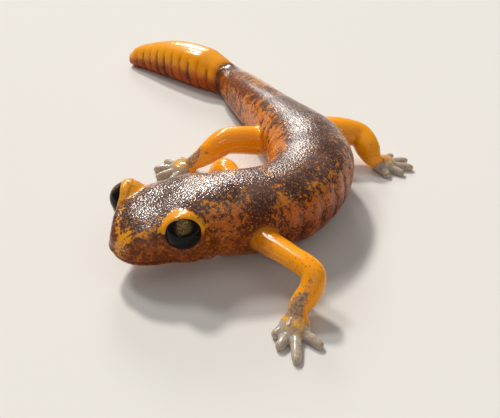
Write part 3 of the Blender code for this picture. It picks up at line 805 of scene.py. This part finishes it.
# The toes: paler along their sides as painted light, and paler in random patches
toe_colour = blend(tree, step(tree, mark_of(tree, "upper"), 0.45, 0.8), TOE_PALE_AND_EDGE_LIGHT, TOE)
toe_colour = blend(tree, times(tree, step(tree, fine, 0.48, 0.62), 0.5), toe_colour, DARK_GREY)
toe_colour = blend(tree, times(tree, step(tree, middling, 0.55, 0.68), 0.4), toe_colour, TOE_PALE_AND_EDGE_LIGHT)
limb_colour = blend(tree, times(tree, step(tree, reach_mark, 0.62, 0.74), 0.9), limb_colour, toe_colour)
knuckles = times(tree, step(tree, reach_mark, 0.53, 0.6), step(tree, reach_mark, 0.76, 0.64))
knuckles = times(tree, knuckles, step(tree, cloud, 0.74, 0.90))
limb_colour = blend(tree, knuckles, limb_colour, YELLOW)
colour = blend(tree, limb_mark, colour, limb_colour)
tree.links.new(colour, shader.inputs["Base Color"])

# The fine grain of the skin, its depth of colour, and the wet film on it
smooth_zone = most(tree, limb_mark, mark_of(tree, "orange"))
smooth_zone = most(tree, smooth_zone, times(tree, base_mark, 0.85))
grain = noise(tree, 4500.0, 2.0, 0.5)
pebbles = add_node(tree, "ShaderNodeTexVoronoi", {
    "Vector": add_node(tree, "ShaderNodeTexCoord", {}).outputs["Object"],
    "Scale": 3200.0, "Randomness": 1.0})
relief = minus(tree, grain, pebbles.outputs["Distance"])
grainy = between(tree, most(tree, mark_of(tree, "head"), mark_of(tree, "neck")), 0.6, 0.85)
strength = between(tree, smooth_zone, grainy, 0.12)
bump = add_node(tree, "ShaderNodeBump", {"Height": relief, "Strength": strength, "Distance": GRAIN_DEPTH})
tree.links.new(bump.outputs["Normal"], shader.inputs["Normal"])
tree.links.new(bump.outputs["Normal"], shader.inputs["Coat Normal"])
shader.inputs["Roughness"].default_value = 0.4
shader.inputs["Specular IOR Level"].default_value = 0.12
shader.inputs["Subsurface Radius"].default_value = (1.0, 0.4, 0.15)
shader.inputs["Subsurface Scale"].default_value = 0.0012
film = add_node(tree, "ShaderNodeMapRange", {
    "Value": broad, "From Min": 0.35, "From Max": 0.62, "To Min": 0.5, "To Max": 1.0})
toe_mark = step(tree, reach_mark, 0.5, 0.7)
fleshy = most(tree, limb_mark, times(tree, mark_of(tree, "tail"), 0.8))
tree.links.new(between(tree, fleshy, 0.12, 0.5), shader.inputs["Subsurface Weight"])
wet = minus(tree, 1.0, times(tree, toe_mark, 0.15))
wet = times(tree, wet, film.outputs["Result"])
wet = most(tree, wet, times(tree, base_mark, 0.95))
shaded = between(tree, step(tree, rise_mark, 0.40, 0.82), 0.3, 1.0)
wet = times(tree, wet, most(tree, shaded, limb_mark))
tree.links.new(wet, shader.inputs["Coat Weight"])
shader.inputs["Coat Roughness"].default_value = 0.09
glossy = times(tree, step(tree, rise_mark, 0.7, 0.95), minus(tree, 1.0, times(tree, base_mark, 0.6)))
glossy = most(tree, glossy, times(tree, limb_mark, 0.45))
tree.links.new(between(tree, glossy, 1.36, 1.6), shader.inputs["Coat IOR"])
shader.inputs["IOR"].default_value = 1.4
skin.data.materials.append(made)
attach(skin, "root")
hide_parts(*[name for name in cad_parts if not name.startswith("eye")])

# The eyes. Two wet, bulging, near-black eyeballs with a brown and gold flecked iris.
# Each sits in the ring of its lids, a little proud of them.
EYE_BLACK = (0.004, 0.003, 0.003, 1)
IRIS = (0.075, 0.046, 0.02, 1)
IRIS_GOLD = (0.36, 0.22, 0.05, 1)
for name, side in (("left", 1), ("right", -1)):
    centre, look, across, over = eye_axes(side)
    bm = bmesh.new()
    turn = Matrix((across, over, look)).transposed().to_4x4()
    bmesh.ops.create_uvsphere(bm, u_segments=64, v_segments=40, radius=EYE_RADIUS * MM)
    for vert in bm.verts:
        bulge = max(0.0, vert.co.z / (EYE_RADIUS * MM) - 0.72)
        vert.co.z += 0.35 * bulge * MM
    bmesh.ops.transform(bm, matrix=Matrix.Translation(place(*centre)) @ turn, verts=bm.verts)
    mesh = bpy.data.meshes.new("eyeball_" + name)
    bm.to_mesh(mesh)
    bm.free()
    eye = bpy.data.objects.new("eyeball_" + name, mesh)
    bpy.context.scene.collection.objects.link(eye)
    eye.data.shade_smooth()
    off = read_points(mesh) - np.array(centre)
    for key, way in (("across", across), ("over", over), ("look", look)):
        mark = mesh.attributes.new(key, "FLOAT", "POINT")
        mark.data.foreach_set("value", (off @ np.array(way) / EYE_RADIUS).astype(np.float32))
    made, tree, shader = new_material("wet_eye_" + name)
    flecks = step(tree, noise(tree, 5000.0, 4.0, 0.7), 0.48, 0.68)
    iris = step(tree, mark_of(tree, "look"), 0.50, 0.72)
    spot = add_node(tree, "ShaderNodeCombineXYZ", {
        "X": mark_of(tree, "across"), "Y": mark_of(tree, "over")})
    gap = {0: spot.outputs["Vector"], 1: (-0.02 * side, 0.50, 0.0)}
    gap = add_node(tree, "ShaderNodeVectorMath", gap, operation="DISTANCE").outputs["Value"]
    gap = plus(tree, gap, times(tree, noise(tree, 900.0, 2.0, 0.5), 0.5))
    gold = times(tree, iris, step(tree, gap, 0.80, 0.48))
    base = blend(tree, gold, EYE_BLACK, IRIS)
    base = blend(tree, times(tree, gold, flecks), base, IRIS_GOLD)
    tree.links.new(base, shader.inputs["Base Color"])
    shader.inputs["Roughness"].default_value = 0.3
    shader.inputs["Specular IOR Level"].default_value = 0.0
    shader.inputs["Coat Weight"].default_value = 1.0
    shader.inputs["Coat IOR"].default_value = 1.25
    shader.inputs["Coat Roughness"].default_value = 0.02
    mesh.materials.append(made)
    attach(eye, "root")
    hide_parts("eye_" + name)

# The floor, a plain pale sheet under the feet and tail, and soft studio light on it. The main light
# stands behind and to the left, and a wide, faint one fills from the front.
FLOOR_COLOUR = (0.69, 0.68, 0.66, 1)
STUDIO_COLOUR = (0.94, 0.90, 0.85, 1)
bm = bmesh.new()
bmesh.ops.create_grid(bm, x_segments=1, y_segments=1, size=8.0)
mesh = bpy.data.meshes.new("floor")
bm.to_mesh(mesh)
bm.free()
floor = bpy.data.objects.new("floor", mesh)
bpy.context.scene.collection.objects.link(floor)
made, tree, shader = new_material("pale_floor")
shader.inputs["Base Color"].default_value = FLOOR_COLOUR
shader.inputs["Roughness"].default_value = 0.9
mesh.materials.append(made)
floor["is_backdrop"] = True


def add_light(name, spot, spread, strength, colour):
    """A far, soft light that shines from the side of a point towards the model."""
    light = bpy.data.lights.new(name, "SUN")
    light.angle = math.radians(spread)
    light.energy = strength
    light.color = colour
    obj = bpy.data.objects.new(name, light)
    obj.location = spot
    obj.rotation_euler = (-Vector(spot)).to_track_quat("-Z", "Y").to_euler()
    bpy.context.scene.collection.objects.link(obj)


add_light("key", (-0.13, 0.31, 0.355), 7.0, 2.1, (1.0, 0.95, 0.87))
add_light("low", (-0.05, 0.43, 0.22), 16.0, 0.9, (1.0, 0.97, 0.92))
add_light("high", (-0.22, 0.19, 0.40), 13.0, 0.9, (1.0, 0.98, 0.95))
add_light("fill", (0.05, -0.30, 0.45), 80.0, 0.45, (1.0, 0.97, 0.93))
add_light("glint", (-0.01, -0.35, 0.30), 2.5, 0.12, (1.0, 1.0, 1.0))
world = bpy.data.worlds.new("studio")
world.use_nodes = True
world.node_tree.nodes["Background"].inputs["Color"].default_value = STUDIO_COLOUR
world.node_tree.nodes["Background"].inputs["Strength"].default_value = 0.22
bpy.context.scene.world = world
bpy.context.scene.view_settings.view_transform = "Standard"

# The camera. It looks down at the animal from the front, from 33 degrees above the floor.
# Its lens comes from a focal length in pixels of a picture 500 pixels wide.
FOCAL_PIXELS = 724
PICTURE_PIXELS = 500
SENSOR_WIDTH = 36.0
TILT = 57
camera = bpy.data.cameras.new("camera")
camera.sensor_width = SENSOR_WIDTH
camera.lens = FOCAL_PIXELS / PICTURE_PIXELS * SENSOR_WIDTH
camera.clip_start = 0.005
camera.clip_end = 10.0
eye_point = bpy.data.objects.new("camera", camera)
eye_point.location = (-0.00041, -0.101594, 0.057741)
eye_point.rotation_euler = (math.radians(TILT), 0, 0)
bpy.context.scene.collection.objects.link(eye_point)
bpy.context.scene.camera = eye_point

bpy.context.view_layer.update()
low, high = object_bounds()
